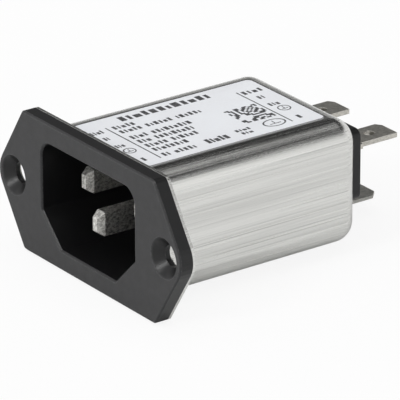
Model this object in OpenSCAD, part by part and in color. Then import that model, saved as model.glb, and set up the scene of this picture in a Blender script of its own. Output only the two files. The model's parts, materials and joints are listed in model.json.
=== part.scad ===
// Chassis-mount EMI line filter with a C14 inlet: a black moulded inlet and flange in front of a
// deep-drawn steel can, with quick-connect tabs at the rear. Millimetres.
// The origin is midway between the screw holes on the mounting face, which is the rear face of the
// can's own flange plate. The inlet opens towards -Y, the tabs point towards +Y, and +Z is up.

/* [Flange] */
// Distance between the two screw holes
screw_spacing = 40; // [36:0.5:46]
// Height of the flange
flange_h = 23.3; // [22.6:0.1:28]
// Length of the straight top and bottom edges
flange_edge = 33.9; // [31:0.1:35]
// Radius of the flange's four small corners
flange_corner_r = 1; // [0.5:0.1:2]
// Radius of the ear round each screw hole
ear_r = 4.2; // [3.8:0.1:6]
// Thickness of the moulded flange
flange_t = 2.4; // [1.8:0.1:4]
// Bevel along the moulded flange's front edge and the socket's rim
edge_bevel = 0.3; // [0.1:0.05:0.6]
// Radius of each screw hole
screw_r = 1.75; // [1.6:0.05:2.2]
// Radius of each countersink at the front face
sink_r = 3.3; // [2.8:0.1:3.6]
// Extra radius of the hole in the can's plate behind the screw hole
plate_hole_extra = 0.5; // [0:0.05:1]

/* [Socket] */
// Width of the socket
socket_w = 24.75; // [24.3:0.05:25]
// Height of the socket
socket_h = 16.5; // [16.1:0.05:16.7]
// Depth of the socket from the front face
socket_depth = 16.5; // [15:0.1:20]
// Radius of the socket's two upper corners
socket_top_r = 2.5; // [1.5:0.1:3]
// Leg of the 45 degree chamfer at the two lower corners
socket_chamfer = 5.1; // [4.5:0.1:5.6]
// Radius that softens each end of the chamfers
socket_soft_r = 0.6; // [0.3:0.1:1]
// Thickness of the socket's floor
floor_t = 2; // [1.5:0.1:3]

/* [Pins] */
// Spacing of the line and neutral pins
pin_pitch = 14; // [13:0.1:15]
// Distance from the line and neutral pins down to the earth pin
pin_drop = 4; // [3.6:0.1:4.4]
// Height of the pin group's middle above the socket's middle
pin_lift = 0.2; // [0:0.05:0.4]
// Long side of a blade's section
pin_w = 4; // [3.6:0.1:4.2]
// Short side of a blade's section
pin_t = 2; // [1.8:0.1:2.2]
// Radius along a blade's four long edges
pin_edge_r = 0.25; // [0.1:0.05:0.5]
// Distance of the line and neutral tips behind the front face
pin_tip_back = 4.25; // [3.5:0.05:5]
// Distance of the earth tip behind the front face
earth_tip_back = 1.4; // [1:0.05:2.5]
// Length of the tapered tip
tip_len = 1.3; // [0.8:0.1:2]
// Long side of the tip's end
tip_w = 2.2; // [1.6:0.1:3]
// Short side of the tip's end
tip_t = 1; // [0.6:0.1:1.4]
// Length of full blade behind the floor
pin_behind = 1; // [0.5:0.1:2]
// Length of the solder tail behind that
tail_len = 4; // [3:0.1:5]
// Width of the solder tail
tail_w = 2.4; // [2:0.1:3]
// Thickness of the solder tail
tail_t = 0.8; // [0.5:0.1:1.2]

/* [Can] */
// Width of the can
can_w = 28.5; // [28:0.1:31]
// Height of the can
can_h = 20.5; // [20.2:0.1:22]
// Length of the can from the mounting face to its rear face
can_len = 38.7; // [38.2:0.1:48]
// Sheet thickness of the can's walls
can_wall = 0.45; // [0.3:0.05:0.6]
// Thickness of the can's flange plate
plate_t = 0.5; // [0.3:0.05:0.8]
// Radius of the can's four long corners
corner_r = 3.8; // [3.5:0.1:4.2]
// Radius round the rear face
rear_r = 3.3; // [1.5:0.1:3.4]
// Drawing radius where the can meets its flange plate
bend_r = 0.8; // [0.3:0.1:1.2]

/* [Terminal plate] */
// Width of the plate on the rear face
plate_w = 24; // [23:0.1:25]
// Height of the plate
plate_h = 11.7; // [11:0.1:13]
// Height of the plate's middle
plate_z = 1.75; // [1:0.05:2.2]
// How far the plate stands out of the rear face
plate_out = 1.55; // [1.5:0.05:3]
// Radius of the plate's corners
plate_r = 1.3; // [0.6:0.1:2]
// Rim of the plate that overlaps the can all round its opening
plate_rim = 2; // [1.2:0.1:2.5]
// How far the plate's plug reaches inside the rear wall
plug_in = 1.2; // [0.6:0.1:2]

/* [Tabs] */
// Spacing of the line and neutral tabs
tab_pitch = 12.2; // [11:0.1:14]
// Height of the tabs' middle
tab_z = 3.3; // [2.5:0.1:4]
// Width of a tab's blade
tab_w = 4.8; // [4.2:0.1:5.2]
// Thickness of a tab
tab_t = 0.8; // [0.6:0.05:1]
// Length of the narrow blade
blade_len = 7.2; // [6:0.1:9]
// Width of the shoulder at the tab's root
shoulder_w = 6; // [5.4:0.1:7]
// Length of the shoulder behind the plate
shoulder_len = 2.75; // [1:0.05:4]
// Depth of the shoulder's seat in the plate
seat_depth = 1.35; // [0.8:0.05:1.4]
// Width of the tail that passes through the plate
tab_tail_w = 3.8; // [3:0.1:4.5]
// How far the tail reaches in front of the rear face
tab_tail_in = 4; // [3:0.1:4.5]
// Clipped corner of a tab, across
clip_x = 1; // [0.4:0.1:1.4]
// Clipped corner of a tab, along
clip_y = 0.7; // [0.4:0.1:1.4]
// Radius of the latch hole in a tab
tab_hole_r = 0.9; // [0.6:0.05:1]
// Distance of the latch hole from the tip
tab_hole_back = 3.7; // [2.8:0.1:4]

/* [Earth tab] */
// Width of the earth tab
earth_w = 6.3; // [5:0.1:7]
// Thickness of the earth tab
earth_t = 0.5; // [0.4:0.05:0.8]
// Height of the earth tab's underside
earth_z = -9.2; // [-9.4:0.05:-8.6]
// Length of the earth tab behind the rear face
earth_len = 12.3; // [10:0.1:15]
// Inner bend radius of the earth tab
earth_bend_r = 0.7; // [0.4:0.1:1]
// Gap between the terminal plate and the earth tab's foot
foot_gap = 0.5; // [0.2:0.1:1]
// Chamfer at both corners of the earth tab's tip
earth_chamfer = 1.25; // [0.6:0.05:1.6]
// Distance of the earth tab's latch hole from its tip
earth_hole_back = 4; // [3:0.1:5]
// Radius of each spot weld's dimple
weld_r = 0.7; // [0.4:0.05:0.9]
// Depth of each spot weld's dimple
weld_depth = 0.12; // [0.05:0.01:0.2]
// Distance of the spot welds below the top of the foot
weld_drop = 1.3; // [1:0.1:1.6]

/* [Label] */
// Width of the label
label_w = 20; // [14:0.1:20]
// Gap between the mounting face and the label
label_front = 1.2; // [0.9:0.1:6]
// Gap between the label and the start of the rear rounding
label_back = 0.3; // [0:0.1:6]
// Thickness of the label
label_t = 0.1; // [0.05:0.01:0.2]
// Radius of the label's corners
label_r = 1; // [0.3:0.1:2]

/* [Choke] */
// Outer radius of the ring core
core_r = 7.7; // [7:0.1:7.9]
// Bore radius of the ring core
core_bore_r = 4; // [4:0.1:4.4]
// Width of the ring core
core_w = 5.6; // [4.8:0.1:6]
// Radius of the core's rounded edges
core_edge_r = 0.5; // [0.2:0.1:0.8]
// Gap between the pins' tails and the windings
choke_gap = 1.1; // [0.6:0.1:2]
// Diameter of the winding wire
wire_d = 0.9; // [0.7:0.05:0.9]
// Turns in each winding
turns = 8; // [5:1:8]
// Half of the angle that each winding covers
wind_half = 62; // [60:1:64]
// Gap between wire and core
wire_gap = 0.1; // [0.09:0.01:0.14]
// Thickness of the web in the core's bore
web_t = 1.2; // [0.8:0.1:1.6]
// How far the web stands out of the core on both sides
web_out = 1; // [0.5:0.1:1.2]
// Distance from a winding's soldered ends to the ends of the metal that they lie on
solder_in = 0.6; // [0.4:0.1:0.9]
// Drop of a winding's lead between its pin and the core
lead_drop = 4; // [3.6:0.1:4.4]
// Sideways lean of a winding's lead on its way to the tab
lead_lean = 1.6; // [1:0.1:2]
// Rise of that lead above the tab's tail
lead_rise = 1; // [0.6:0.1:1.4]

/* [Capacitors] */
// Width of the box capacitor
xcap_w = 13; // [11:0.1:14]
// Depth of the box capacitor
xcap_d = 5.5; // [4.5:0.1:6]
// Height of the box capacitor
xcap_h = 11; // [9:0.1:11.2]
// Gap between the windings and the box capacitor
xcap_gap = 0.8; // [0.5:0.1:1.2]
// Lead spacing of the box capacitor
xcap_pitch = 10; // [9:0.1:11]
// Radius of a disc capacitor
ycap_r = 3.5; // [3:0.1:3.8]
// Thickness of a disc capacitor
ycap_t = 3; // [2:0.1:3.2]
// Sideways place of each disc capacitor
ycap_x = 9.5; // [9:0.1:9.8]
// Height of each disc capacitor's centre
ycap_z = -4.5; // [-5:0.1:-3]
// Radius of the component leads
lead_r = 0.35; // [0.25:0.05:0.4]
// Length of a tab's tail that the capacitors' leads and the box capacitor lie under
tail_cover = 0.9; // [0.8:0.1:1.4]

/* [Small parts] */
// Radius of the bleed resistor's body
res_r = 1.1; // [0.8:0.1:1.2]
// Length of the bleed resistor's body
res_len = 6; // [5:0.1:6.4]
// Width of the earth strap
strap_w = 3; // [2:0.1:4]
// Thickness of the earth strap
strap_t = 0.5; // [0.3:0.05:0.8]
// Length of the strap's foot on the can
strap_foot = 2.4; // [1.5:0.1:2.6]
// Thickness of the insulating sleeve
sleeve_t = 0.4; // [0.2:0.05:0.5]
// How far the sleeve reaches over the pins' solder tails
sleeve_lap = 1; // [0.5:0.1:2]
// Running gap between the sleeve and the can
sleeve_gap = 0.05; // [0.02:0.01:0.15]
// Gap between the socket's shroud and the can's inner wall
shroud_gap = 0.4; // [0.2:0.05:0.6]
// Gap round pieces that are pushed into slots
fit_gap = 0.02; // [0.01:0.01:0.05]

/* [Hidden] */
$fn = 64;
cut = 0.5;
skin = 0.01;
front_y = -plate_t - flange_t;
floor_y = front_y + socket_depth;
housing_back = floor_y + floor_t;
tail_end = housing_back + pin_behind + tail_len;
pin_z = pin_lift + pin_drop / 2;
earth_pin_z = pin_lift - pin_drop / 2;
in_w = can_w - 2 * can_wall;
in_h = can_h - 2 * can_wall;
in_r = corner_r - can_wall;
in_back = can_len - can_wall;
opening_w = plate_w - 2 * plate_rim;
opening_h = plate_h - 2 * plate_rim;
opening_r = plate_r;
plate_back = can_len + plate_out;
seat_y = plate_back - seat_depth;
tab_tip = plate_back + shoulder_len + blade_len;
tail_front = can_len - tab_tail_in;
earth_tip = can_len + earth_len;
foot_top = plate_z - plate_h / 2 - foot_gap;
weld_z = foot_top - weld_drop;
coil_out = wire_gap + wire_d / 2;
core_y = tail_end + choke_gap + wire_d + wire_gap + core_w / 2;
core_mid_r = (core_r + core_bore_r) / 2;
coil_back = core_y + core_w / 2 + wire_gap + wire_d;
sleeve_front = tail_end - sleeve_lap;
sleeve_w = in_w - 2 * sleeve_gap;
sleeve_h = in_h - 2 * sleeve_gap;
sleeve_r = in_r - sleeve_gap;
sleeve_back = can_len - rear_r;
sleeve_floor = -sleeve_h / 2 + sleeve_t;
xcap_y = max(coil_back + xcap_gap, tail_front + tail_cover - xcap_d);
xcap_top = sleeve_floor + fit_gap + xcap_h;
tail_under = tab_z - tab_t / 2;
lead_y = (tail_front + xcap_y + xcap_d) / 2;
ycap_y = xcap_y + xcap_d / 2;
res_y = (tail_front + in_back - plug_in) / 2;
strap_y = housing_back + strap_foot + fit_gap;

// ---- Shared shapes ----

// Solid along +Y from a sketch drawn as X across and Z up
module along_y(y0, len) {
    translate([0, y0 + len, 0]) rotate([90, 0, 0]) linear_extrude(len) children();
}

// Points where the outer tangent from circle a to circle b touches both, counter-clockwise
function tangent(a, b) =
    let (dx = b[0] - a[0], dy = b[1] - a[1], gap = norm([dx, dy]),
        side = atan2(dy, dx) - acos((a[2] - b[2]) / gap))
    [[a[0] + a[2] * cos(side), a[1] + a[2] * sin(side)],
        [b[0] + b[2] * cos(side), b[1] + b[2] * sin(side)]];

// Outline that wraps a ring of circles [x, y, r] given counter-clockwise
module wrapped(ring) {
    n = len(ring);
    polygon([for (i = [0:n - 1]) each tangent(ring[i], ring[(i + 1) % n])]);
    for (c = ring) translate([c[0], c[1]]) circle(c[2]);
}

module round_rect(w, h, r) {
    x = w / 2 - r;
    y = h / 2 - r;
    wrapped([[x, -y, r], [x, y, r], [-x, y, r], [-x, -y, r]]);
}

// Ring shape swept round a box with rounded corners: the sketch has X outward from the corner's
// centre and Y along the depth
module round_box_sweep(w, h, r) {
    x = w / 2 - r;
    z = h / 2 - r;
    for (sx = [0, 1]) mirror([sx, 0, 0]) {
        translate([x, 0, -z]) linear_extrude(2 * z) children();
        for (sz = [0, 1]) mirror([0, 0, sz])
            translate([x, 0, -z]) rotate([-90, 0, 0]) rotate_extrude(angle = 90) children();
    }
    for (sz = [0, 1]) mirror([0, 0, sz])
        translate([x, 0, z]) rotate([0, -90, 0]) linear_extrude(2 * x) children();
}

// Box along +Y with rounded long corners and a rounded far edge
module drawn_box(w, h, y0, y1, r, far_r) {
    round_box_sweep(w, h, r) difference() {
        translate([0, y0]) square([r, y1 - y0]);
        translate([r - far_r, y1 - far_r]) difference() {
            square(far_r + cut);
            circle(far_r);
        }
    }
    translate([-w / 2 + r, y0, -h / 2 + r]) cube([w - 2 * r, y1 - y0, h - 2 * r]);
}

// Outline of both flanges, grown by a small amount
module flange_outline(grow = 0) {
    x = flange_edge / 2;
    z = flange_h / 2 - flange_corner_r;
    c = flange_corner_r + grow;
    e = ear_r + grow;
    wrapped([[x, -z, c], [screw_spacing / 2, 0, e], [x, z, c],
        [-x, z, c], [-screw_spacing / 2, 0, e], [-x, -z, c]]);
}

// Outline of the socket, grown by a small amount
module socket_outline(grow = 0) {
    x = socket_w / 2;
    z = socket_h / 2;
    s = socket_soft_r;
    t = socket_top_r;
    k = s * tan(22.5);
    wrapped([[x - socket_chamfer - k, -z + s, s + grow], [x - s, -z + socket_chamfer + k, s + grow],
        [x - t, z - t, t + grow], [-x + t, z - t, t + grow],
        [-x + s, -z + socket_chamfer + k, s + grow], [-x + socket_chamfer + k, -z + s, s + grow]]);
}

module both_ears() {
    for (s = [-1, 1]) translate([s * screw_spacing / 2, 0, 0]) rotate([-90, 0, 0]) children();
}

// Straight round wire from a to b
module wire(a, b, r) {
    d = b - a;
    translate(a) rotate([0, acos(d[2] / norm(d)), atan2(d[1], d[0])]) cylinder(h = norm(d), r = r);
}

// ---- Inlet ----

module inlet_housing() {
    color([0.13, 0.13, 0.13]) difference() {
        union() {
            hull() {
                along_y(front_y + edge_bevel, flange_t - edge_bevel) flange_outline($fn = 32);
                along_y(front_y, edge_bevel) flange_outline(-edge_bevel, $fn = 32);
            }
            along_y(-plate_t - fit_gap, housing_back + plate_t + fit_gap)
                round_rect(in_w - 2 * shroud_gap, in_h - 2 * shroud_gap, in_r - shroud_gap);
        }
        hull() along_y(front_y - cut, socket_depth + cut) socket_outline($fn = 48);
        hull() {
            along_y(front_y - edge_bevel, skin) socket_outline(2 * edge_bevel, $fn = 48);
            along_y(front_y + 2 * edge_bevel, skin) socket_outline(-edge_bevel, $fn = 48);
        }
        both_ears() {
            translate([0, 0, front_y - cut]) cylinder(h = flange_t + 2 * cut, r = screw_r);
            translate([0, 0, front_y]) cylinder(h = sink_r - screw_r, r1 = sink_r, r2 = screw_r);
        }
        for (s = [-1, 1]) pin_slot(s * pin_pitch / 2, pin_z);
        pin_slot(0, earth_pin_z);
    }
}

module pin_slot(x, z) {
    translate([x, 0, z]) along_y(floor_y - cut, floor_t + 2 * cut) blade_section(fit_gap);
}

module blade_section(grow = 0) {
    round_rect(pin_t + 2 * grow, pin_w + 2 * grow, pin_edge_r + grow);
}

// Blade with a tip tapered on all four sides and a thin solder tail
module pin(tip_back) {
    tip = front_y + tip_back;
    full = housing_back + pin_behind;
    intersection() {
        along_y(tip, full - tip) blade_section();
        translate([0, 0, -pin_w]) linear_extrude(2 * pin_w) taper(tip, full, tip_t / 2, pin_t / 2);
        rotate([0, -90, 0]) translate([0, 0, -pin_t]) linear_extrude(2 * pin_t)
            taper(tip, full, tip_w / 2, pin_w / 2);
    }
    translate([-tail_t / 2, full, -tail_w / 2]) cube([tail_t, tail_len, tail_w]);
}

module taper(y0, y1, half_tip, half_full) {
    polygon([[-half_tip, y0], [half_tip, y0], [half_full, y0 + tip_len], [half_full, y1],
        [-half_full, y1], [-half_full, y0 + tip_len]]);
}

module pin_line() { color([0.75, 0.74, 0.7]) translate([pin_pitch / 2, 0, pin_z]) pin(pin_tip_back); }
module pin_neutral() { color([0.75, 0.74, 0.7]) translate([-pin_pitch / 2, 0, pin_z]) pin(pin_tip_back); }
module pin_earth() { color([0.75, 0.74, 0.7]) translate([0, 0, earth_pin_z]) pin(earth_tip_back); }

// ---- Can ----

module can() {
    color([0.83, 0.83, 0.82]) difference() {
        union() {
            drawn_box(can_w, can_h, -plate_t, can_len, corner_r, rear_r);
            along_y(-plate_t, plate_t) flange_outline();
            round_box_sweep(can_w, can_h, corner_r) difference() {
                translate([corner_r - can_wall / 2, -plate_t / 2])
                    square([bend_r + can_wall / 2, bend_r + plate_t / 2]);
                translate([corner_r + bend_r, bend_r]) circle(bend_r);
            }
        }
        drawn_box(in_w, in_h, -plate_t - cut, in_back, in_r, rear_r - can_wall);
        translate([0, 0, plate_z]) along_y(in_back - cut, can_wall + 2 * cut)
            round_rect(opening_w, opening_h, opening_r);
        both_ears() translate([0, 0, -plate_t - cut])
            cylinder(h = plate_t + 2 * cut, r = screw_r + plate_hole_extra);
    }
}

// ---- Rear terminals ----

module terminal_plate() {
    color([0.12, 0.12, 0.12]) difference() {
        translate([0, 0, plate_z]) {
            along_y(can_len, plate_out) round_rect(plate_w, plate_h, plate_r);
            along_y(in_back - plug_in, can_wall + plug_in)
                round_rect(opening_w - 2 * fit_gap, opening_h - 2 * fit_gap, opening_r - fit_gap);
        }
        for (s = [-1, 1]) translate([s * tab_pitch / 2, 0, tab_z]) tab_slot();
    }
}

// Slot for a tab's tail that widens into the seat of its shoulder
module tab_slot() {
    y0 = in_back - plug_in - cut;
    y1 = plate_back + cut;
    tail = tab_tail_w / 2 + fit_gap;
    wide = shoulder_w / 2 + fit_gap;
    translate([0, 0, -tab_t / 2 - fit_gap]) linear_extrude(tab_t + 2 * fit_gap)
        polygon([[-tail, y0], [tail, y0], [tail, seat_y], [wide, seat_y], [wide, y1],
            [-wide, y1], [-wide, seat_y], [-tail, seat_y]]);
}

module tab() {
    y1 = plate_back + shoulder_len;
    difference() {
        translate([0, 0, -tab_t / 2]) linear_extrude(tab_t)
            polygon([[-tab_tail_w / 2, tail_front], [tab_tail_w / 2, tail_front],
                [tab_tail_w / 2, seat_y], [shoulder_w / 2, seat_y], [shoulder_w / 2, y1],
                [tab_w / 2, y1], [tab_w / 2, tab_tip],
                [-tab_w / 2 + clip_x, tab_tip], [-tab_w / 2, tab_tip - clip_y],
                [-tab_w / 2, y1], [-shoulder_w / 2, y1], [-shoulder_w / 2, seat_y],
                [-tab_tail_w / 2, seat_y]]);
        translate([0, tab_tip - tab_hole_back, -tab_t]) cylinder(h = 2 * tab_t, r = tab_hole_r);
    }
}

module tab_line() { color([0.8, 0.78, 0.72]) translate([tab_pitch / 2, 0, tab_z]) tab(); }
module tab_neutral() { color([0.8, 0.78, 0.72]) translate([-tab_pitch / 2, 0, tab_z]) tab(); }

// Bent strip whose foot is welded to the rear face below the plate
module tab_earth() {
    outer = earth_bend_r + earth_t;
    color([0.78, 0.78, 0.76]) difference() {
        translate([earth_w / 2, 0, 0]) rotate([0, -90, 0]) linear_extrude(earth_w) {
            translate([earth_z + outer, can_len]) square([foot_top - earth_z - outer, earth_t]);
            translate([earth_z, can_len + outer]) square([earth_t, earth_len - outer]);
            intersection() {
                translate([earth_z, can_len]) square(outer);
                translate([earth_z + outer, can_len + outer]) difference() {
                    circle(outer);
                    circle(earth_bend_r);
                }
            }
        }
        for (s = [-1, 1]) {
            translate([s * earth_w / 2, earth_tip, earth_z - cut]) rotate([0, 0, 45])
                translate([-earth_chamfer * sqrt(0.5), -earth_chamfer * sqrt(0.5), 0])
                    cube([2 * earth_chamfer * sqrt(0.5), 2 * earth_chamfer * sqrt(0.5), earth_t + 2 * cut]);
            translate([s * earth_w / 4, can_len + earth_t - weld_depth, weld_z])
                rotate([-90, 0, 0]) cylinder(h = cut, r = weld_r);
        }
        translate([0, earth_tip - earth_hole_back, earth_z - cut])
            cylinder(h = earth_t + 2 * cut, r = tab_hole_r);
    }
}

// ---- Label ----

module rating_label() {
    y1 = can_len - rear_r - label_back;
    color([0.93, 0.94, 0.95]) translate([0, (label_front + y1) / 2, can_h / 2])
        linear_extrude(label_t) round_rect(label_w, y1 - label_front, label_r);
}

// ---- Choke ----

module choke_core() {
    w = core_r - core_bore_r;
    color([0.25, 0.25, 0.27]) translate([0, core_y, 0]) rotate([90, 0, 0])
        rotate_extrude() translate([core_mid_r, 0]) round_rect(w, core_w, core_edge_r);
}

module choke_web() {
    color([0.9, 0.88, 0.8]) intersection() {
        translate([-web_t / 2, core_y - core_w / 2 - web_out, -core_r])
            cube([web_t, core_w + 2 * web_out, 2 * core_r]);
        translate([0, core_y - core_w, 0]) rotate([-90, 0, 0])
            cylinder(h = 2 * core_w, r = core_bore_r - fit_gap);
    }
}

// One turn round the core's section: radial and depth offsets at step k of 12
function turn_point(k) =
    let (a = (core_r - core_bore_r) / 2 + coil_out, b = core_w / 2 + coil_out,
        r = core_edge_r + coil_out, q = floor(k / 3) % 4, t = 45 * (k % 3) + 90 * q,
        sx = (q == 0 || q == 3) ? 1 : -1, sy = q < 2 ? 1 : -1)
    [sx * (a - r) + r * cos(t), sy * (b - r) + r * sin(t)];

// Place on the helix at step k, with the winding's angle growing evenly
function coil_point(k) =
    let (p = turn_point((k + 9) % 12), ang = -wind_half + 2 * wind_half * k / (12 * turns))
    [(core_mid_r + p[0]) * cos(ang), core_y + p[1], (core_mid_r + p[0]) * sin(ang)];

lead_x = pin_pitch / 2 - tail_t / 2 - wire_d / 2 - fit_gap;
lead_z = tab_z + tab_t / 2 + wire_d / 2 + fit_gap;
lead_in = [
    [lead_x, housing_back + pin_behind + solder_in, pin_z],
    [lead_x, tail_end - solder_in, pin_z - solder_in],
    [lead_x, tail_end - solder_in / 3, pin_z - lead_drop]];
lead_out = [
    [tab_pitch / 2 - lead_lean, (2 * coil_back + tail_front) / 3, lead_z + lead_rise],
    [tab_pitch / 2, tail_front - solder_in, lead_z],
    [tab_pitch / 2, in_back - plug_in - solder_in / 2, lead_z]];
coil_path = concat(lead_in, [for (k = [0:12 * turns - 6]) coil_point(k)], lead_out);

function unit(v) = v / norm(v);

// Round tube along a path; each ring's reference direction follows the path's place on the core
module swept_wire(path, r, sides = 8) {
    n = len(path);
    rings = [for (i = [0:n - 1])
        let (t = unit(path[min(i + 1, n - 1)] - path[max(i - 1, 0)]),
            ang = atan2(path[i][2], path[i][0]),
            u = unit(cross(t, [-sin(ang), 0, cos(ang)])), v = cross(t, u))
        for (s = [0:sides - 1]) path[i] + r * (cos(360 * s / sides) * u + sin(360 * s / sides) * v)];
    faces = concat([[for (s = [0:sides - 1]) s]],
        [for (i = [0:n - 2]) for (s = [0:sides - 1])
            [i * sides + s, (i + 1) * sides + s, (i + 1) * sides + (s + 1) % sides]],
        [for (i = [0:n - 2]) for (s = [0:sides - 1])
            [i * sides + s, (i + 1) * sides + (s + 1) % sides, i * sides + (s + 1) % sides]],
        [[for (s = [sides - 1:-1:0]) (n - 1) * sides + s]]);
    polyhedron(rings, faces, convexity = 10);
}

module winding_line() { color([0.72, 0.36, 0.16]) swept_wire(coil_path, wire_d / 2); }
module winding_neutral() { color([0.72, 0.36, 0.16]) mirror([1, 0, 0]) swept_wire(coil_path, wire_d / 2); }

// ---- Capacitors and small parts ----

module x_capacitor() {
    color([0.85, 0.72, 0.2]) translate([-xcap_w / 2, xcap_y, sleeve_floor + fit_gap])
        cube([xcap_w, xcap_d, xcap_h]);
}

module x_leads() {
    color([0.8, 0.8, 0.8]) for (s = [-1, 1]) translate([s * xcap_pitch / 2, lead_y, xcap_top])
        cylinder(h = tail_under - xcap_top, r = lead_r);
}

module disc() {
    translate([ycap_x - ycap_t / 2, ycap_y, ycap_z]) rotate([0, 90, 0]) cylinder(h = ycap_t, r = ycap_r);
}

module y_capacitor_line() { color([0.2, 0.4, 0.7]) disc(); }
module y_capacitor_neutral() { color([0.2, 0.4, 0.7]) mirror([1, 0, 0]) disc(); }

// One lead leans over to the tab's tail and the other drops through the sleeve to the can
module disc_leads() {
    wire([ycap_x, ycap_y, ycap_z + ycap_r + lead_r],
        [tab_pitch / 2 + tab_tail_w / 2 - lead_r, tail_front + tail_cover, tail_under - lead_r], lead_r);
    wire([ycap_x, ycap_y, ycap_z - ycap_r - fit_gap], [ycap_x, ycap_y, -in_h / 2 + fit_gap], lead_r);
}

module y_leads_line() { color([0.8, 0.8, 0.8]) disc_leads(); }
module y_leads_neutral() { color([0.8, 0.8, 0.8]) mirror([1, 0, 0]) disc_leads(); }

module bleed_resistor() {
    color([0.75, 0.65, 0.45]) translate([-res_len / 2, res_y, tab_z]) rotate([0, 90, 0])
        cylinder(h = res_len, r = res_r);
}

module resistor_leads() {
    reach = tab_pitch / 2 - tab_tail_w / 2;
    color([0.8, 0.8, 0.8]) for (s = [0, 1]) mirror([s, 0, 0])
        translate([res_len / 2, res_y, tab_z]) rotate([0, 90, 0])
            cylinder(h = reach - res_len / 2, r = lead_r);
}

// From under the earth pin's tail down to a foot on the can's floor
module earth_strap() {
    z0 = -in_h / 2 + fit_gap;
    color([0.8, 0.78, 0.7]) {
        translate([-strap_w / 2, strap_y - strap_t, z0])
            cube([strap_w, strap_t, earth_pin_z - tail_w / 2 - z0]);
        translate([-strap_w / 2, strap_y - strap_foot, z0]) cube([strap_w, strap_foot, strap_t]);
    }
}

module insulating_sleeve() {
    color([0.9, 0.85, 0.6]) difference() {
        along_y(sleeve_front, sleeve_back - sleeve_front) round_rect(sleeve_w, sleeve_h, sleeve_r);
        along_y(sleeve_front - cut, sleeve_back - sleeve_front + 2 * cut)
            round_rect(sleeve_w - 2 * sleeve_t, sleeve_h - 2 * sleeve_t, sleeve_r - sleeve_t);
        for (s = [-1, 1]) translate([s * ycap_x, ycap_y, -in_h / 2])
            cylinder(h = 2 * sleeve_t + sleeve_gap, r = 2 * lead_r);
    }
}

inlet_housing();
can();
pin_line();
pin_neutral();
pin_earth();
terminal_plate();
tab_line();
tab_neutral();
tab_earth();
rating_label();
choke_core();
choke_web();
winding_line();
winding_neutral();
x_capacitor();
x_leads();
y_capacitor_line();
y_capacitor_neutral();
y_leads_line();
y_leads_neutral();
bleed_resistor();
resistor_leads();
earth_strap();
insulating_sleeve();
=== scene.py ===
import json
import math

import bpy
from mathutils import Matrix, Vector

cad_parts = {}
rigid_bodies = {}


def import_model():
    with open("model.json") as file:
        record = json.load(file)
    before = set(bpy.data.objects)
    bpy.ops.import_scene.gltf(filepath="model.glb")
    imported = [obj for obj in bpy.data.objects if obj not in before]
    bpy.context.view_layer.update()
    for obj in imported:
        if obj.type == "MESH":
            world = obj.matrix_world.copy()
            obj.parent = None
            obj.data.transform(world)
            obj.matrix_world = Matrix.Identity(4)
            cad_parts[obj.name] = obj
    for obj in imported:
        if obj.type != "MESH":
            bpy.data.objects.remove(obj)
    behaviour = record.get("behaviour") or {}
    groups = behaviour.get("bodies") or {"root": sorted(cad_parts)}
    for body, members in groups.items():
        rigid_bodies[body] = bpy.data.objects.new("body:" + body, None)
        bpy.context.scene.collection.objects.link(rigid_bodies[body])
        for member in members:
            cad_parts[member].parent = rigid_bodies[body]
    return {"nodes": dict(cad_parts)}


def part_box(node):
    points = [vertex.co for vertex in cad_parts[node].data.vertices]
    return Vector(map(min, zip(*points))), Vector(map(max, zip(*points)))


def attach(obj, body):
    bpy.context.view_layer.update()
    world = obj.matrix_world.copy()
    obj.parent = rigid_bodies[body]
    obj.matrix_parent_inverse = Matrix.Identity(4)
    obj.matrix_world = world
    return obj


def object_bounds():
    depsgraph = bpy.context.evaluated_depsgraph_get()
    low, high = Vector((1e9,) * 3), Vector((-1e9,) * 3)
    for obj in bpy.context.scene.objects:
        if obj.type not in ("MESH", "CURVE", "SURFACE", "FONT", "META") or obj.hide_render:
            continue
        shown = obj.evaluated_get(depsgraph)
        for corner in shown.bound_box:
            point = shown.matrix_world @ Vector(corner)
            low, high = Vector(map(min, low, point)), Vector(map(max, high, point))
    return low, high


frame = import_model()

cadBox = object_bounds()
nodes = frame["nodes"]
mm = 0.001


def selectNothing():
    for obj in bpy.data.objects:
        obj.select_set(False)


# Camera: long lens, looking down on the flange's front and the can's right side

camera = {
    "place": (0.51752, -0.35599, 0.26770),
    "aim": (0.00936, 0.01150, 0.00221),
    "roll": -0.17,          # degrees
    "lens": 404.1,
    "sensorWidth": 36.0,
}


def setCamera():
    place = Vector(camera["place"])
    away = Vector(camera["aim"]) - place
    turn = away.to_track_quat("-Z", "Y").to_matrix().to_4x4()
    turn = turn @ Matrix.Rotation(math.radians(camera["roll"]), 4, "Z")
    bpy.ops.object.camera_add()
    cam = bpy.context.object
    cam.name = "productCamera"
    cam.matrix_world = Matrix.Translation(place) @ turn
    cam.data.lens = camera["lens"]
    cam.data.sensor_width = camera["sensorWidth"]
    cam.data.clip_start = 0.01
    cam.data.clip_end = 20.0
    bpy.context.scene.camera = cam


setCamera()
print("camera set")


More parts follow.
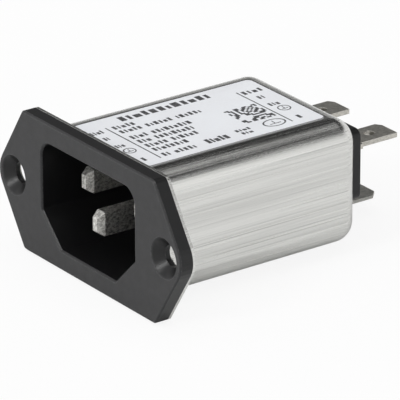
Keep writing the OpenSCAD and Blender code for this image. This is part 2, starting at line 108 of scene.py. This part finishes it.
# Small helper that adds shader nodes and links or fills their sockets in one call
class Graph:
    def __init__(self, tree):
        self.tree = tree
        self.tree.nodes.clear()
        self.count = 0

    def add(self, kind, inputs=None, **settings):
        made = self.tree.nodes.new(kind)
        made.location = (200 * (self.count % 8), -260 * (self.count // 8))
        self.count += 1
        for key, value in settings.items():
            setattr(made, key, value)
        for key, value in (inputs or {}).items():
            socket = made.inputs[key]
            if isinstance(value, bpy.types.NodeSocket):
                self.tree.links.new(value, socket)
            else:
                socket.default_value = value
        return made

    def math(self, operation, a, b=0.0, clamp=False):
        return self.add("ShaderNodeMath", {0: a, 1: b}, operation=operation, use_clamp=clamp).outputs[0]

    # Smooth ramp of a value between two limits
    def ramp(self, value, low, high, outLow=0.0, outHigh=1.0):
        made = self.add("ShaderNodeMapRange", {"Value": value, "From Min": low, "From Max": high,
                                               "To Min": outLow, "To Max": outHigh},
                        interpolation_type="SMOOTHSTEP")
        return made.outputs[0]

    def color(self, factor, a, b):
        made = self.add("ShaderNodeMix", data_type="RGBA")
        for socket, value in ((made.inputs[0], factor), (made.inputs[6], a), (made.inputs[7], b)):
            if isinstance(value, bpy.types.NodeSocket):
                self.tree.links.new(value, socket)
            elif isinstance(value, tuple):
                socket.default_value = (*value, 1.0)
            else:
                socket.default_value = value
        return made.outputs[2]

    # Noise in millimetres on the piece's own coordinates; size is the grain along X, Y and Z
    def noise(self, size, detail=2.0, rough=0.5):
        place = self.add("ShaderNodeTexCoord").outputs["Object"]
        scaled = self.add("ShaderNodeMapping", {"Vector": place, "Scale": [1 / (s * mm) for s in size]})
        made = self.add("ShaderNodeTexNoise", {"Vector": scaled.outputs[0], "Scale": 1.0, "Detail": detail,
                                               "Roughness": rough})
        return made.outputs["Fac"]

    # Object coordinates in millimetres
    def place(self):
        where = self.add("ShaderNodeTexCoord").outputs["Object"]
        made = self.add("ShaderNodeVectorMath", {0: where, 1: (1000.0, 1000.0, 1000.0)}, operation="MULTIPLY")
        return self.add("ShaderNodeSeparateXYZ", {0: made.outputs[0]}).outputs

    # Normal rounded over sharp edges, and a mask that is 1 on those edges
    def edges(self, radius):
        bent = self.add("ShaderNodeBevel", {"Radius": radius * mm}, samples=6).outputs[0]
        flat = self.add("ShaderNodeNewGeometry").outputs["True Normal"]
        dot = self.add("ShaderNodeVectorMath", {0: bent, 1: flat}, operation="DOT_PRODUCT").outputs["Value"]
        return bent, self.ramp(dot, 0.995, 0.9)

    def bump(self, height, strength, depth, normal=None):
        inputs = {"Height": height, "Strength": strength, "Distance": depth * mm}
        if normal is not None:
            inputs["Normal"] = normal
        return self.add("ShaderNodeBump", inputs).outputs[0]

    def finish(self, **sockets):
        shader = self.add("ShaderNodeBsdfPrincipled")
        for key, value in sockets.items():
            socket = shader.inputs[key]
            if isinstance(value, bpy.types.NodeSocket):
                self.tree.links.new(value, socket)
            elif isinstance(value, tuple):
                socket.default_value = (*value, 1.0)
            else:
                socket.default_value = value
        self.add("ShaderNodeOutputMaterial", {"Surface": shader.outputs[0]})


def newFinish(name):
    mat = bpy.data.materials.new(name)
    mat.use_nodes = True
    return mat, Graph(mat.node_tree)


# Studio: an even white tent with a dark gap high behind the object, a grey card and one key light

studio = {
    "tent": 0.92,
    "overhead": 1.35,            # brighter paper straight above
    "overheadRadius": 32.0,
    "overheadSoft": 8.0,
    "gap": 0.015,                # the dark gap behind, between two heights and two headings
    "gapLow": 30.0,
    "gapHigh": 60.0,
    "gapRight": 36.0,
    "gapLeft": 158.0,
    "gapSoft": 3.0,
    "gapDrop": 12.0,             # how far the gap's lower edge falls between these two headings
    "gapDropFrom": 100.0,
    "gapDropTo": 150.0,
    "card": 0.4,                 # grey card at the left rear
    "cardPlace": (148.0, 4.0),
    "cardRadius": 20.0,
    "cardSoft": 6.0,
    "keyLight": 18.0,
    "keyPlace": (-84.0, 36.0),   # heading and height in degrees
    "keyRadius": 7.0,
    "keySoft": 1.5,
    "mapSize": 1024,
}


def heading(azimuth, elevation):
    a, e = math.radians(azimuth), math.radians(elevation)
    return (math.cos(a) * math.cos(e), math.sin(a) * math.cos(e), math.sin(e))


def setStudio():
    world = bpy.data.worlds.new("studio")
    bpy.context.scene.world = world
    world.use_nodes = True
    g = Graph(world.node_tree)
    ray = g.add("ShaderNodeTexCoord").outputs["Generated"]
    part = g.add("ShaderNodeSeparateXYZ", {0: ray}).outputs
    height = g.math("MULTIPLY", g.math("ARCSINE", part[2]), 180 / math.pi)
    turn = g.math("MULTIPLY", g.math("ARCTAN2", part[1], part[0]), 180 / math.pi)

    def patch(place, radius, soft):
        dot = g.add("ShaderNodeVectorMath", {0: ray, 1: heading(*place)}, operation="DOT_PRODUCT")
        angle = g.math("MULTIPLY", g.math("ARCCOSINE", dot.outputs["Value"]), 180 / math.pi)
        return g.ramp(angle, radius - soft, radius + soft, 1.0, 0.0)

    def blend(mask, level, other):
        return g.add("ShaderNodeMix", {"Factor": mask, "A": level, "B": other}).outputs["Result"]

    overhead = patch((0.0, 90.0), studio["overheadRadius"], studio["overheadSoft"])
    level = blend(overhead, studio["tent"], studio["overhead"])
    card = patch(studio["cardPlace"], studio["cardRadius"], studio["cardSoft"])
    level = blend(card, level, studio["card"])
    soft = studio["gapSoft"]
    low = g.ramp(turn, studio["gapDropFrom"], studio["gapDropTo"],
                 studio["gapLow"], studio["gapLow"] - studio["gapDrop"])
    gap = g.ramp(g.math("SUBTRACT", height, low), -soft, soft)
    for value, edge, way in ((height, "gapHigh", -1), (turn, "gapRight", 1), (turn, "gapLeft", -1)):
        side = g.ramp(value, studio[edge] - way * soft, studio[edge] + way * soft)
        gap = g.math("MULTIPLY", gap, side)
    level = blend(gap, level, studio["gap"])
    keyLight = patch(studio["keyPlace"], studio["keyRadius"], studio["keySoft"])
    level = blend(keyLight, level, studio["keyLight"])
    light = g.add("ShaderNodeBackground", {"Color": (1, 1, 1, 1), "Strength": level})
    plain = g.add("ShaderNodeBackground", {"Color": (1, 1, 1, 1), "Strength": 1.0})
    path = g.add("ShaderNodeLightPath")
    mix = g.add("ShaderNodeMixShader",
                {0: path.outputs["Is Camera Ray"], 1: light.outputs[0], 2: plain.outputs[0]})
    g.add("ShaderNodeOutputWorld", {"Surface": mix.outputs[0]})
    world.cycles.sampling_method = "MANUAL"
    world.cycles.sample_map_resolution = studio["mapSize"]


setStudio()

floorPaper = {
    "radius": 4.0,
    "drop": 0.2,            # mm below the lowest edge
    "shade": (0.86, 0.86, 0.86),
    "shadowShare": 0.12,    # how much of the object's shadow the white paper keeps
}


def layFloor():
    selectNothing()
    bpy.ops.mesh.primitive_circle_add(vertices=96, radius=floorPaper["radius"], fill_type="NGON",
                                      location=(0, 0, cadBox[0][2] - floorPaper["drop"] * mm))
    floor = bpy.context.object
    floor.name = "studioFloor"
    mat, g = newFinish("whitePaper")
    paper = g.add("ShaderNodeBsdfDiffuse", {"Color": (*floorPaper["shade"], 1)})
    glow = g.add("ShaderNodeEmission", {"Color": (1, 1, 1, 1), "Strength": 1.0})
    path = g.add("ShaderNodeLightPath")
    seen = g.math("MULTIPLY", path.outputs["Is Camera Ray"], 1.0 - floorPaper["shadowShare"])
    mix = g.add("ShaderNodeMixShader", {0: seen, 1: paper.outputs[0], 2: glow.outputs[0]})
    g.add("ShaderNodeOutputMaterial", {"Surface": mix.outputs[0]})
    floor.data.materials.append(mat)


layFloor()
bpy.context.scene.view_settings.view_transform = "Standard"
print("studio and floor set")

# Black moulded nylon: a fine matt grain on the flange's front and glossier behind it; behind the front the
# colour is darker as painted shade, and a painted highlight is speckled along the sharp edges

nylon = {
    "front": (0.030, 0.030, 0.031),
    # painted shade: the darker colour of the sides and everything behind the front face
    "side": (0.0055, 0.0055, 0.006),
    "paintedEdgeHighlight": (0.16, 0.16, 0.165),        # painted highlight along the sharp edges, speckled by the grain
    "grain": 0.16,                      # mm
    "mottle": 1.4,
    "edge": 0.16,
    "frontStart": 0.06,                 # the matt front and its lighter colour fade into the painted shade of the sides between these depths
    "frontEnd": 0.28,
}


def makeNylon():
    mat, g = newFinish("blackNylon")
    frontFace = cadBox[0][1] / mm
    front = g.ramp(g.place()[1], frontFace + nylon["frontEnd"], frontFace + nylon["frontStart"])
    grain = g.noise((nylon["grain"],) * 3, 3.0, 0.6)
    mottle = g.noise((nylon["mottle"],) * 3, 2.0)
    bent, edge = g.edges(nylon["edge"])
    # painted shade: the front face keeps the lighter colour, the sides and the rest behind it get the darker
    # one
    tint = g.color(front, nylon["side"], nylon["front"])
    both = g.math("ADD", g.math("MULTIPLY", grain, 0.7), g.math("MULTIPLY", mottle, 0.3))
    shade = g.ramp(both, 0.3, 0.7, 0.72, 1.3)
    tint = g.add("ShaderNodeVectorMath", {0: tint, "Scale": shade}, operation="SCALE").outputs[0]
    # painted highlight: a light colour speckled along the sharp edges
    paintedEdgeHighlight = g.math("MULTIPLY", edge, g.ramp(grain, 0.35, 0.62, 0.0, 0.8))
    tint = g.color(paintedEdgeHighlight, tint, nylon["paintedEdgeHighlight"])
    rough = g.math("ADD", g.ramp(front, 0.0, 1.0, 0.3, 0.5), g.math("MULTIPLY", grain, 0.12))
    strength = g.ramp(front, 0.0, 1.0, 0.12, 0.5)
    normal = g.bump(grain, strength, 0.02, bent)
    g.finish(**{"Base Color": tint, "Roughness": rough, "Normal": normal, "Specular IOR Level": 0.4})
    return mat


# Nickel-plated steel drawn along its length: long streaks, fine grain and sparkle on the roundings

steel = {
    "bright": (0.80, 0.80, 0.775),
    "dull": (0.62, 0.62, 0.60),
    "streak": (0.35, 40.0, 0.22),       # mm along X, Y and Z
    "broad": (2.5, 70.0, 2.2),
    "scratch": (0.5, 55.0, 0.16),
    "scratchTint": (0.30, 0.30, 0.29),
    "grain": 0.13,
    "edge": 0.12,
}


def makeSteel():
    mat, g = newFinish("platedSteel")
    streak = g.noise(steel["streak"], 3.0, 0.6)
    scratch = g.noise(steel["scratch"], 1.0, 0.4)
    broad = g.noise(steel["broad"], 2.0)
    grain = g.noise((steel["grain"],) * 3, 2.0, 0.7)
    bent = g.edges(steel["edge"])[0]
    facing = g.add("ShaderNodeNewGeometry").outputs["Normal"]
    facing = g.add("ShaderNodeSeparateXYZ", {0: facing}).outputs
    curve = g.ramp(g.math("ABSOLUTE", g.math("MULTIPLY", facing[0], facing[2])), 0.02, 0.3)
    both = g.math("ADD", g.math("MULTIPLY", streak, 0.55), g.math("MULTIPLY", broad, 0.45))
    shade = g.ramp(both, 0.32, 0.66)
    tint = g.color(shade, steel["dull"], steel["bright"])
    line = g.math("MULTIPLY", g.ramp(scratch, 0.34, 0.29), 0.55)
    tint = g.color(line, tint, steel["scratchTint"])
    rough = g.math("ADD", g.ramp(streak, 0.3, 0.7, 0.17, 0.25), g.math("MULTIPLY", grain, 0.06))
    normal = g.bump(streak, 0.22, 0.02, bent)
    normal = g.bump(grain, g.ramp(curve, 0.0, 1.0, 0.10, 0.85), 0.018, normal)
    g.finish(**{"Base Color": tint, "Metallic": 1.0, "Roughness": rough, "Normal": normal})
    return mat


# Plated strip of the blades and tabs: rolled grain along the strip and a painted highlight on the edges

platings = {
    "pinPlating": dict(bright=(0.92, 0.91, 0.87), dull=(0.34, 0.33, 0.31), rough=0.46,
                       grainSize=(0.12, 0.4, 0.12), relief=0.6, edgeRadius=0.12),
    "tabPlating": dict(bright=(0.62, 0.60, 0.55), dull=(0.42, 0.41, 0.37), rough=0.36,
                       grainSize=(0.14, 0.5, 0.14), relief=0.35, edgeRadius=0.1),
    "tinPlating": dict(bright=(0.50, 0.49, 0.46), dull=(0.30, 0.30, 0.28), rough=0.4,
                       grainSize=(0.2, 0.2, 0.2), relief=0.35, edgeRadius=0.1),
}
# painted highlight colour for the sharp edges of the blades and tabs
edgeShine = (0.9, 0.89, 0.86)


def makePlating(name):
    values = platings[name]
    mat, g = newFinish(name)
    grain = g.noise(values["grainSize"], 3.0, 0.65)
    blot = g.noise((0.45, 0.6, 0.45), 2.0, 0.6)
    bent, edge = g.edges(values["edgeRadius"])
    both = g.math("ADD", g.math("MULTIPLY", grain, 0.5), g.math("MULTIPLY", blot, 0.5))
    tint = g.color(g.ramp(both, 0.36, 0.62), values["dull"], values["bright"])
    # painted highlight: the edge mask lays the light colour along the sharp edges
    tint = g.color(g.math("MULTIPLY", edge, 0.6), tint, edgeShine)
    rough = g.ramp(grain, 0.3, 0.7, values["rough"] - 0.06, values["rough"] + 0.08)
    normal = g.bump(grain, values["relief"], 0.02, bent)
    g.finish(**{"Base Color": tint, "Metallic": 1.0, "Roughness": rough, "Normal": normal})
    return mat


# Label film: slightly cool white with a faint fibre, a low sheen and painted shade on its cut edge

labelLow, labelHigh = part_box("rating_label")
labelTop = labelHigh[2] / mm

film = {
    "paper": (0.84, 0.86, 0.89),
    "cloud": (0.80, 0.81, 0.84),
    "paintedEdgeShade": (0.25, 0.25, 0.26),
    "edgeStart": 0.005,          # painted shade: the cut edge darkens between these depths
    "edgeEnd": 0.02,
}


def makeLabel():
    mat, g = newFinish("labelFilm")
    fibre = g.noise((0.35, 0.35, 0.35), 3.0, 0.6)
    cloud = g.noise((6.0, 9.0, 6.0), 1.0)
    both = g.math("ADD", g.math("MULTIPLY", fibre, 0.4), g.math("MULTIPLY", cloud, 0.6))
    tint = g.color(g.ramp(both, 0.3, 0.7), film["cloud"], film["paper"])
    # painted shade on the label's cut edge, just under its top face
    side = g.ramp(g.place()[2], labelTop - film["edgeStart"], labelTop - film["edgeEnd"])
    tint = g.color(g.math("MULTIPLY", side, 0.8), tint, film["paintedEdgeShade"])
    normal = g.bump(fibre, 0.08, 0.01)
    g.finish(**{"Base Color": tint, "Roughness": 0.42, "Normal": normal, "Specular IOR Level": 0.4})
    return mat


# Plain finishes with their own grain, used inside the can

inner = {
    "ferrite": dict(color=(0.05, 0.05, 0.055), rough=0.6, grain=0.2),
    "naturalNylon": dict(color=(0.80, 0.77, 0.66), rough=0.5, grain=0.5, contrast=0.1),
    "yellowCase": dict(color=(0.80, 0.58, 0.10), rough=0.35, grain=0.5, contrast=0.12),
    "resistorLacquer": dict(color=(0.60, 0.48, 0.28), rough=0.35),
    "sleeveBoard": dict(color=(0.75, 0.66, 0.40), rough=0.7, grain=0.6, contrast=0.15),
    "enamelledCopper": dict(color=(0.62, 0.24, 0.08), rough=0.25, metal=1.0, grain=0.4, contrast=0.2,
                            relief=0.1, coat=0.6),
    "blueEpoxy": dict(color=(0.05, 0.16, 0.45), rough=0.25, grain=0.8, contrast=0.2, relief=0.35),
    "leadWire": dict(color=(0.70, 0.70, 0.69), rough=0.3, metal=1.0, grain=0.2, contrast=0.2),
}


def makeInner(name, color, rough, metal=0.0, grain=0.3, contrast=0.25, relief=0.2, coat=0.0):
    mat, g = newFinish(name)
    speck = g.noise((grain,) * 3, 3.0, 0.6)
    shade = g.ramp(speck, 0.3, 0.7)
    tint = g.color(shade, tuple(c * (1 - contrast) for c in color), color)
    g.finish(**{
        "Base Color": tint,
        "Metallic": metal,
        "Roughness": g.ramp(speck, 0.3, 0.7, rough - 0.06, rough + 0.08),
        "Normal": g.bump(speck, relief, 0.02),
        "Coat Weight": coat,
    })
    return mat


blackNylon = makeNylon()
pinPlating = makePlating("pinPlating")
tabPlating = makePlating("tabPlating")
tinPlating = makePlating("tinPlating")
innerFinish = {name: makeInner(name, **values) for name, values in inner.items()}

finishes = {
    "inlet_housing": blackNylon,
    "terminal_plate": blackNylon,
    "can": makeSteel(),
    "pin_earth": pinPlating,
    "tab_earth": tinPlating,
    "earth_strap": tinPlating,
    "rating_label": makeLabel(),
    "choke_core": innerFinish["ferrite"],
    "choke_web": innerFinish["naturalNylon"],
    "x_capacitor": innerFinish["yellowCase"],
    "x_leads": innerFinish["leadWire"],
    "bleed_resistor": innerFinish["resistorLacquer"],
    "resistor_leads": innerFinish["leadWire"],
    "insulating_sleeve": innerFinish["sleeveBoard"],
}
for pole in ("line", "neutral"):
    finishes["pin_" + pole] = pinPlating
    finishes["tab_" + pole] = tabPlating
    finishes["winding_" + pole] = innerFinish["enamelledCopper"]
    finishes["y_capacitor_" + pole] = innerFinish["blueEpoxy"]
    finishes["y_leads_" + pole] = innerFinish["leadWire"]

for name, obj in nodes.items():
    obj.data.materials.clear()
    obj.data.materials.append(finishes[name])
print("finishes set on", len(nodes), "nodes")

# Plain print on the label: rows of ticks, rules, rings and a woven square. Places are in millimetres,
# across (X) and along (Y), on the label's own face.

ink = {
    "thick": 0.012,
    "dark": (0.022, 0.022, 0.024),
    "thin": (0.10, 0.10, 0.105),
    "speck": 0.3,
}


def makeInk():
    mat, g = newFinish("printInk")
    speck = g.noise((ink["speck"],) * 3, 3.0, 0.7)
    tint = g.color(g.ramp(speck, 0.36, 0.66), ink["dark"], ink["thin"])
    g.finish(**{"Base Color": tint, "Roughness": 0.55})
    return mat


printInk = makeInk()


# Flat block of ink, from its middle and size
def inkBlock(across, along, width, length):
    thick = ink["thick"]
    place = (across * mm, along * mm, (labelTop + thick / 2) * mm)
    bpy.ops.mesh.primitive_cube_add(size=1.0, location=place)
    block = bpy.context.object
    block.scale = (width * mm, length * mm, thick * mm)
    return block


def joinPrint(parts, name):
    selectNothing()
    for part in parts:
        part.select_set(True)
    bpy.context.view_layer.objects.active = parts[0]
    if len(parts) > 1:
        bpy.ops.object.join()
    piece = bpy.context.object
    piece.name = name
    bpy.ops.object.transform_apply(location=True, rotation=True, scale=True)
    piece.data.materials.clear()
    piece.data.materials.append(printInk)
    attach(piece, "root")
    selectNothing()
    return piece


tickLengths = (1.0, 0.62, 1.3, 0.8, 1.12)
tickHeights = (1.0, 0.92, 0.7, 1.0, 0.86, 0.96, 0.74)


# One row of ticks: words are counts of ticks, and their lengths and heights repeat in a fixed beat
def tickRow(name, across, along, height, words, tick=0.5, gap=0.34, space=0.7):
    selectNothing()
    parts = []
    y = along
    beat = 0
    for count in words:
        for i in range(count):
            length = tick * tickLengths[beat % len(tickLengths)]
            tall = height * tickHeights[beat % len(tickHeights)]
            parts.append(inkBlock(across + (height - tall) / 2, y + length / 2, tall, length))
            y += length + gap
            beat += 1
        y += space
    return joinPrint(parts, name)


rows = {
    "printTitle": dict(across=-8.0, along=8.8, height=1.75, words=(12,), tick=1.0, gap=0.5),
    "printRowA": dict(across=-5.6, along=6.0, height=1.25, words=(5,)),
    "printRowB": dict(across=-3.7, along=6.0, height=1.25, words=(5, 6, 6)),
    "printRowC": dict(across=-0.9, along=6.0, height=1.3, words=(4, 9)),
    "printRowD": dict(across=1.1, along=6.0, height=1.3, words=(3, 9)),
    "printRowE": dict(across=3.1, along=6.0, height=1.3, words=(5, 6)),
    "printRowF": dict(across=5.0, along=6.0, height=1.3, words=(8,)),
    "printRowG": dict(across=7.45, along=6.0, height=1.3, words=(2, 5)),
    "printMarkA": dict(across=7.2, along=14.3, height=1.7, words=(5,), tick=0.62, gap=0.25),
    "printMarkB": dict(across=6.5, along=20.3, height=0.85, words=(4,), tick=0.5, gap=0.25),
    "printMarkC": dict(across=7.8, along=20.6, height=0.85, words=(3,), tick=0.5, gap=0.25),
    "printFrontA": dict(across=-5.5, along=1.7, height=1.3, words=(4,), tick=0.38, gap=0.26),
    "printFrontB": dict(across=-2.7, along=2.3, height=1.2, words=(2,), tick=0.36, gap=0.22),
    "printFrontC": dict(across=0.8, along=2.0, height=1.2, words=(3,), tick=0.36, gap=0.22),
    "printFrontD": dict(across=7.2, along=2.4, height=1.3, words=(1,), tick=0.5),
    "printRearA": dict(across=-5.5, along=30.5, height=1.3, words=(4,), tick=0.6, gap=0.42),
    "printRearB": dict(across=-2.7, along=31.4, height=1.2, words=(2,), tick=0.45, gap=0.3),
    "printRearC": dict(across=0.7, along=31.0, height=1.2, words=(3,), tick=0.42, gap=0.3),
    "printRearD": dict(across=7.2, along=31.6, height=1.3, words=(1,), tick=0.6),
}
for name, values in rows.items():
    tickRow(name, **values)

rules = {"places": (5.07, 29.9), "low": -6.4, "high": 8.25, "wide": 0.22}


def drawRules():
    middle = (rules["low"] + rules["high"]) / 2
    parts = [inkBlock(middle, y, rules["high"] - rules["low"], rules["wide"]) for y in rules["places"]]
    joinPrint(parts, "printRules")


drawRules()

rings = {
    "printRingFront": dict(across=3.2, along=2.9, radius=1.05, stretch=1.0),
    "printRingRear": dict(across=3.0, along=32.2, radius=1.1, stretch=1.0),
    "printRingOval": dict(across=7.0, along=27.3, radius=1.4, stretch=1.45),
}


ringLine = {"wide": 0.2, "bar": 0.18}


# Ring with two short bars in it: a disc with an inset middle, cut out and raised
def drawRing(name, across, along, radius, stretch):
    selectNothing()
    bpy.ops.mesh.primitive_circle_add(vertices=40, radius=radius * mm, fill_type="NGON",
                                      location=(across * mm, along * mm, labelTop * mm))
    ring = bpy.context.object
    ring.scale = (1.0, stretch, 1.0)
    bpy.ops.object.mode_set(mode="EDIT")
    bpy.ops.mesh.select_all(action="SELECT")
    bpy.ops.mesh.inset(thickness=ringLine["wide"] * mm)
    bpy.ops.mesh.delete(type="FACE")
    bpy.ops.mesh.select_all(action="SELECT")
    bpy.ops.mesh.extrude_region_move(TRANSFORM_OT_translate={"value": (0, 0, ink["thick"] * mm)})
    bpy.ops.mesh.select_all(action="SELECT")
    bpy.ops.mesh.normals_make_consistent(inside=False)
    bpy.ops.object.mode_set(mode="OBJECT")
    bars = [inkBlock(across + 0.25 * radius, along, ringLine["bar"], radius * stretch),
            inkBlock(across - 0.2 * radius, along, radius * 0.7, ringLine["bar"])]
    joinPrint([ring] + bars, name)


for name, values in rings.items():
    drawRing(name, **values)

weave = {"low": (-1.05, 23.5), "cell": 0.42, "fill": 0.98, "count": 14}


# Square of a woven pattern
def drawWeave():
    parts = []
    cell = weave["cell"]
    for i in range(weave["count"]):
        for j in range(weave["count"]):
            if (i * 3 + j * 5 + (i * j) // 3) % 4 < 2:
                across = weave["low"][0] + (i + 0.5) * cell
                along = weave["low"][1] + (j + 0.5) * cell
                parts.append(inkBlock(across, along, cell * weave["fill"], cell * weave["fill"]))
    joinPrint(parts, "printWeave")


drawWeave()

border = {"wide": 0.13, "corner": 1.0, "segments": 6}


# Thin dark line round the label
def drawBorder():
    selectNothing()
    middle = [(a + b) / 2 for a, b in zip(labelLow, labelHigh)]
    bpy.ops.mesh.primitive_plane_add(size=1.0, location=(middle[0], middle[1], labelHigh[2]))
    frameLine = bpy.context.object
    frameLine.scale = (labelHigh[0] - labelLow[0], labelHigh[1] - labelLow[1], 1.0)
    bpy.ops.object.transform_apply(location=False, rotation=False, scale=True)
    bpy.ops.object.mode_set(mode="EDIT")
    bpy.ops.mesh.select_all(action="SELECT")
    bpy.ops.mesh.bevel(affect="VERTICES", offset=border["corner"] * mm, segments=border["segments"])
    bpy.ops.mesh.select_all(action="SELECT")
    bpy.ops.mesh.inset(thickness=border["wide"] * mm)
    bpy.ops.mesh.delete(type="FACE")
    bpy.ops.mesh.select_all(action="SELECT")
    bpy.ops.mesh.extrude_region_move(TRANSFORM_OT_translate={"value": (0, 0, ink["thick"] * mm)})
    bpy.ops.mesh.select_all(action="SELECT")
    bpy.ops.mesh.normals_make_consistent(inside=False)
    bpy.ops.object.mode_set(mode="OBJECT")
    joinPrint([frameLine], "printBorder")


drawBorder()
print("label print drawn")
